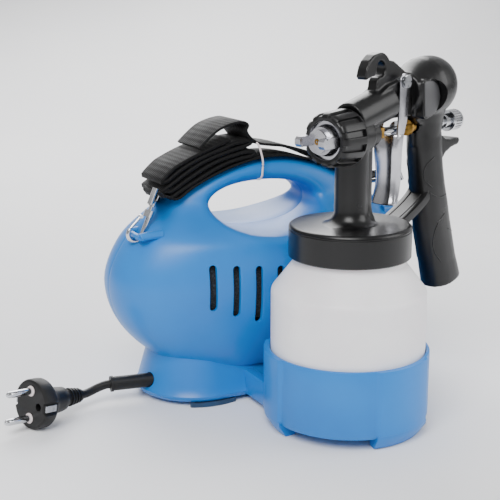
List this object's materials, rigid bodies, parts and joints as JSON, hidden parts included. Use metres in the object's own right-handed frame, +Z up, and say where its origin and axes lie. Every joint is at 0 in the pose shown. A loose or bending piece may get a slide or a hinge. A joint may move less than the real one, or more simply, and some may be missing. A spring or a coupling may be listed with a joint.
{
  "type": "paint sprayer",
  "caption": "Electric turbine paint sprayer with carrying handle and strap, clip-on cup holder, and siphon-cup spray gun with trigger, needle and air cap.",
  "frame": {"origin": "centre of the turbine base's footprint, on the floor", "axes": "+Z up; +X along the turbine, from the cord end; -Y is the front, where the cup holder clips on"},
  "size_m": [0.3405, 0.2323, 0.2509],
  "materials": {
    "blue_abs": "satin moulded ABS, light blue",
    "black_nylon": "satin black glass-filled nylon",
    "black_pvc": "soft black PVC",
    "rubber": "moulded rubber",
    "foam": "open-cell filter foam",
    "red_plastic": "red switch plastic",
    "webbing": "black woven polypropylene webbing",
    "tie_plastic": "pale plastic twist tie",
    "cup_hdpe": "translucent white HDPE",
    "gasket_pe": "natural polyethylene",
    "chrome": "polished chrome plate",
    "steel": "machined steel",
    "aluminium": "pressed aluminium",
    "brass": "machined brass",
    "copper": "copper windings and bars",
    "carbon": "pressed carbon"
  },
  "bodies": {
    "turbine": {"front_shell": "blue_abs", "back_shell": "blue_abs", "base_tray": "blue_abs", "rubber_feet": "rubber", "housing_screws": "steel", "base_screws": "steel", "outlet_socket": "black_nylon", "outlet_gasket": "rubber", "filter_foam": "foam", "filter_frame": "black_nylon", "fan_housing": "black_nylon", "fan_cover": "black_nylon", "motor_housing": "steel", "stator_core": "steel", "field_coils": "copper", "front_bearing": "steel", "rear_bearing": "steel", "rear_bracket": "steel", "brush_holders": "black_nylon", "carbon_brushes": "carbon", "motor_mounts": "rubber", "switch_bezel": "black_nylon", "cord_clamp": "black_pvc", "cable_guard": "black_pvc", "power_cord": "black_pvc", "plug_body": "black_pvc", "plug_pins": "brass", "strap_hook_left": "chrome", "strap_hook_right": "chrome", "strap_bundle": "webbing", "strap_runs": "webbing", "twist_tie": "tie_plastic"},
    "rotor": {"fan_wheel": "aluminium", "fan_nut": "steel", "motor_shaft": "steel", "armature": "copper", "commutator": "copper"},
    "rocker": {"switch_rocker": "red_plastic"},
    "gate_left": {"hook_gate_left": "chrome"},
    "gate_right": {"hook_gate_right": "chrome"},
    "holder": {"cup_holder": "blue_abs"},
    "gun": {"gun_head": "black_nylon", "gun_handle": "black_nylon", "fluid_nozzle": "brass", "packing_nut": "brass", "needle_guide": "brass", "trigger_screw": "steel", "trigger_nut": "steel", "pickup_tube": "gasket_pe", "cup_gasket": "gasket_pe"},
    "air_cap": {"air_cap": "chrome"},
    "collar": {"collar_nut": "black_nylon"},
    "needle": {"fluid_needle": "steel", "needle_spring": "steel"},
    "knob": {"flow_knob": "chrome"},
    "trigger": {"trigger": "chrome"},
    "cup": {"paint_cup": "cup_hdpe"}
  },
  "joints": [
    {"name": "fan_spin", "type": "hinge", "parent": "turbine", "child": "rotor", "pos_m": [0, 0, 0.07], "axis": [1, 0, 0], "continuous": true},
    {"name": "switch_rock", "type": "hinge", "parent": "turbine", "child": "rocker", "pos_m": [0.048, 0.049, 0.092], "axis": [1, 0, 0], "range_deg": [-12, 0]},
    {"name": "gate_left_swing", "type": "hinge", "parent": "turbine", "child": "gate_left", "pos_m": [-0.10348, -0.015, 0.13797], "axis": [0, 1, 0], "range_deg": [-20, 0], "stiffness_Nm_per_rad": 0.02},
    {"name": "gate_right_swing", "type": "hinge", "parent": "turbine", "child": "gate_right", "pos_m": [0.10348, -0.015, 0.13797], "axis": [0, -1, 0], "range_deg": [-20, 0], "stiffness_Nm_per_rad": 0.02},
    {"name": "holder_pull", "type": "slide", "parent": "turbine", "child": "holder", "axis": [0, -1, 0], "range_m": [0, 0.03]},
    {"name": "gun_lift", "type": "slide", "parent": "holder", "child": "gun", "axis": [0, 0, 1], "range_m": [0, 0.06]},
    {"name": "air_cap_turn", "type": "hinge", "parent": "gun", "child": "air_cap", "pos_m": [-0.02119, -0.12026, 0.198], "axis": [-0.9397, -0.342, 0], "range_deg": [-90, 90]},
    {"name": "collar_unscrew", "type": "hinge", "parent": "gun", "child": "collar", "pos_m": [-0.00804, -0.11547, 0.198], "axis": [-0.9397, -0.342, 0], "range_deg": [0, 720]},
    {"name": "trigger_pull", "type": "hinge", "parent": "gun", "child": "trigger", "pos_m": [0.04929, -0.09461, 0.231], "axis": [0.342, -0.9397, 0], "range_deg": [0, 14], "stiffness_Nm_per_rad": 0.6, "springref_deg": -17.19},
    {"name": "needle_slide", "type": "slide", "parent": "gun", "child": "needle", "axis": [0.9397, 0.342, 0], "range_m": [0, 0.0085]},
    {"name": "flow_knob_turn", "type": "hinge", "parent": "gun", "child": "knob", "pos_m": [0.11788, -0.06964, 0.198], "axis": [-0.9397, -0.342, 0], "range_deg": [0, 1080]},
    {"name": "cup_unscrew", "type": "hinge", "parent": "gun", "child": "cup", "pos_m": [0.007, -0.11, 0.06], "axis": [0, 0, 1], "range_deg": [0, 360]}
  ],
  "couplings": [
    {"joint": "needle_slide", "follows": "trigger_pull", "m_per_rad": 0.033}
  ]
}
